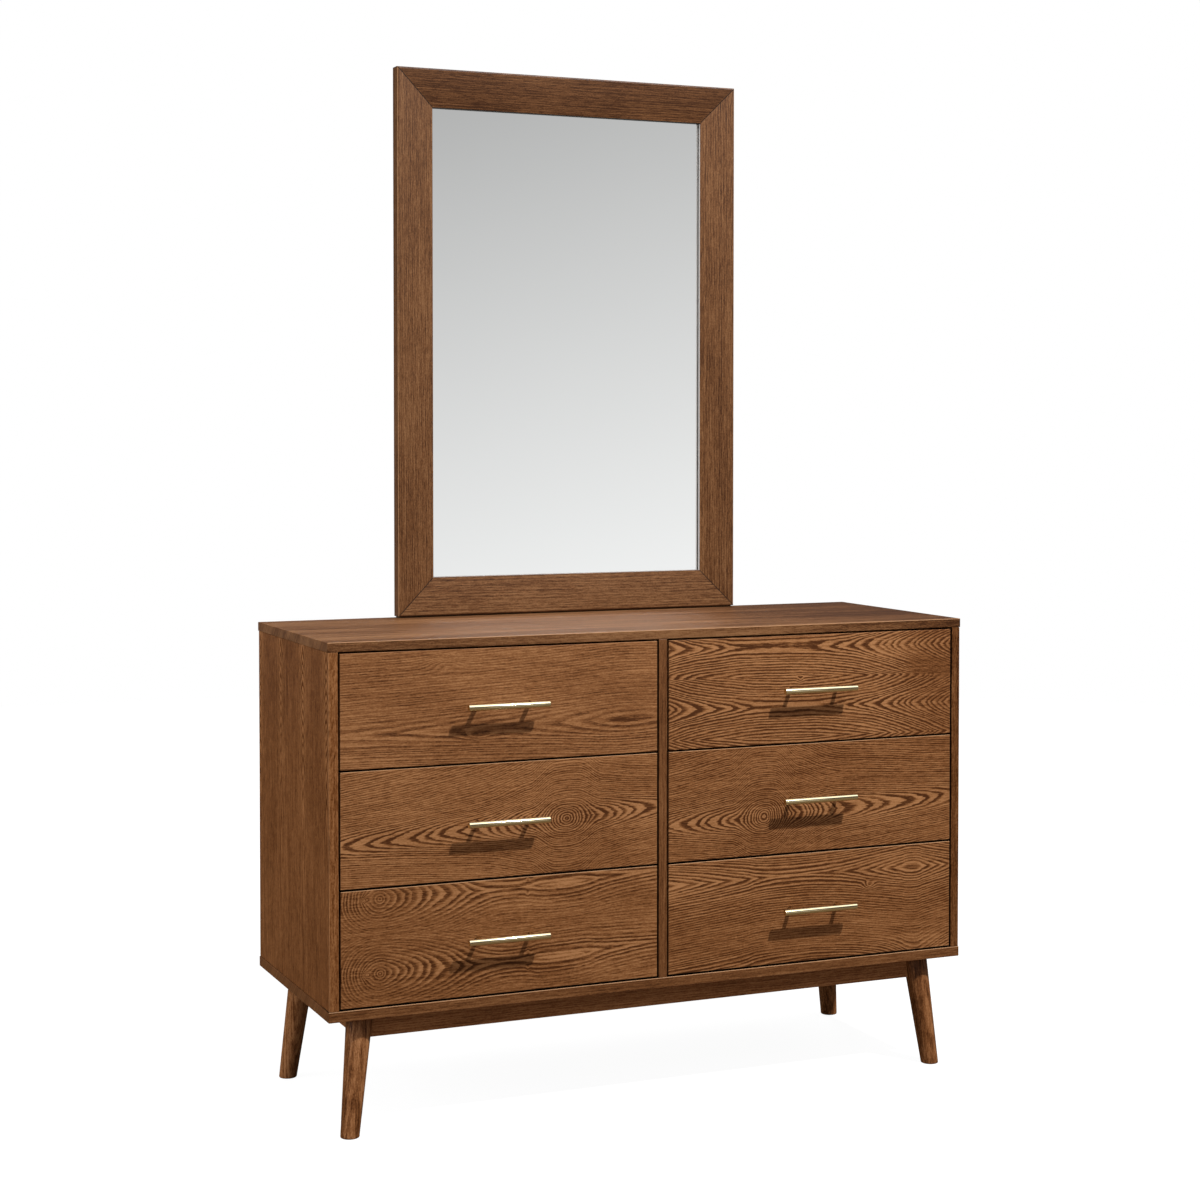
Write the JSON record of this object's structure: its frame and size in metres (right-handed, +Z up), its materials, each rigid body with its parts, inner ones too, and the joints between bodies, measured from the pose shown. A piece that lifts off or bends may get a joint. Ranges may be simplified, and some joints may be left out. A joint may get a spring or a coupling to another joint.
{
  "type": "dresser with mirror",
  "caption": "Wooden dresser with two columns of inset drawers, bar pulls, splayed turned legs, a low apron frame and a tall mitre-framed mirror behind its top.",
  "frame": {"origin": "on the floor, under the middle of the overall box", "axes": "+Z up, +X to the right of someone facing the drawers, drawer fronts face -Y"},
  "size_m": [1.22, 0.4958, 1.8584],
  "materials": {
    "case_wood": "satin lacquer over walnut-brown stained, open-pored ash veneer",
    "front_wood": "satin lacquer over walnut-brown stained ash veneer with horizontal figured grain",
    "frame_wood": "satin lacquer over walnut-brown stained ash, straight grain along each rail",
    "leg_wood": "satin lacquer over walnut-brown stained solid wood",
    "box_wood": "clear matte lacquer on pale solid wood",
    "box_ply": "clear matte lacquer on thin plywood",
    "back_board": "matte brown hardboard",
    "slide_steel": "bright zinc-plated rolled steel",
    "pull_brass": "pale champagne-gold satin",
    "mirror_glass": "silvered flat glass"
  },
  "bodies": {
    "carcass": {"top_panel": "case_wood", "bottom_panel": "case_wood", "side_panel_left": "case_wood", "side_panel_right": "case_wood", "centre_divider": "case_wood", "back_panel_left": "back_board", "back_panel_right": "back_board", "back_rail": "case_wood", "leg_front_left": "leg_wood", "leg_front_right": "leg_wood", "leg_back_left": "leg_wood", "leg_back_right": "leg_wood", "apron_front": "leg_wood", "apron_back": "leg_wood", "apron_left": "leg_wood", "apron_right": "leg_wood", "slide_bottom_left_outer": "slide_steel", "slide_bottom_left_inner": "slide_steel", "slide_bottom_right_outer": "slide_steel", "slide_bottom_right_inner": "slide_steel", "slide_middle_left_outer": "slide_steel", "slide_middle_left_inner": "slide_steel", "slide_middle_right_outer": "slide_steel", "slide_middle_right_inner": "slide_steel", "slide_top_left_outer": "slide_steel", "slide_top_left_inner": "slide_steel", "slide_top_right_outer": "slide_steel", "slide_top_right_inner": "slide_steel", "mirror_frame_top": "frame_wood", "mirror_frame_bottom": "frame_wood", "mirror_frame_left": "frame_wood", "mirror_frame_right": "frame_wood", "mirror_glass": "mirror_glass", "mirror_backboard": "back_board", "mirror_support_left": "case_wood", "mirror_support_right": "case_wood"},
    "drawer_top_left": {"front_top_left": "front_wood", "box_top_left": "box_wood", "floor_top_left": "box_ply", "pull_top_left": "pull_brass"},
    "drawer_top_right": {"front_top_right": "front_wood", "box_top_right": "box_wood", "floor_top_right": "box_ply", "pull_top_right": "pull_brass"},
    "drawer_middle_left": {"front_middle_left": "front_wood", "box_middle_left": "box_wood", "floor_middle_left": "box_ply", "pull_middle_left": "pull_brass"},
    "drawer_middle_right": {"front_middle_right": "front_wood", "box_middle_right": "box_wood", "floor_middle_right": "box_ply", "pull_middle_right": "pull_brass"},
    "drawer_bottom_left": {"front_bottom_left": "front_wood", "box_bottom_left": "box_wood", "floor_bottom_left": "box_ply", "pull_bottom_left": "pull_brass"},
    "drawer_bottom_right": {"front_bottom_right": "front_wood", "box_bottom_right": "box_wood", "floor_bottom_right": "box_ply", "pull_bottom_right": "pull_brass"}
  },
  "joints": [
    {"name": "drawer_top_left_slide", "type": "slide", "parent": "carcass", "child": "drawer_top_left", "axis": [0, -1, 0], "range_m": [0, 0.285]},
    {"name": "drawer_top_right_slide", "type": "slide", "parent": "carcass", "child": "drawer_top_right", "axis": [0, -1, 0], "range_m": [0, 0.285]},
    {"name": "drawer_middle_left_slide", "type": "slide", "parent": "carcass", "child": "drawer_middle_left", "axis": [0, -1, 0], "range_m": [0, 0.285]},
    {"name": "drawer_middle_right_slide", "type": "slide", "parent": "carcass", "child": "drawer_middle_right", "axis": [0, -1, 0], "range_m": [0, 0.285]},
    {"name": "drawer_bottom_left_slide", "type": "slide", "parent": "carcass", "child": "drawer_bottom_left", "axis": [0, -1, 0], "range_m": [0, 0.285]},
    {"name": "drawer_bottom_right_slide", "type": "slide", "parent": "carcass", "child": "drawer_bottom_right", "axis": [0, -1, 0], "range_m": [0, 0.285]}
  ]
}
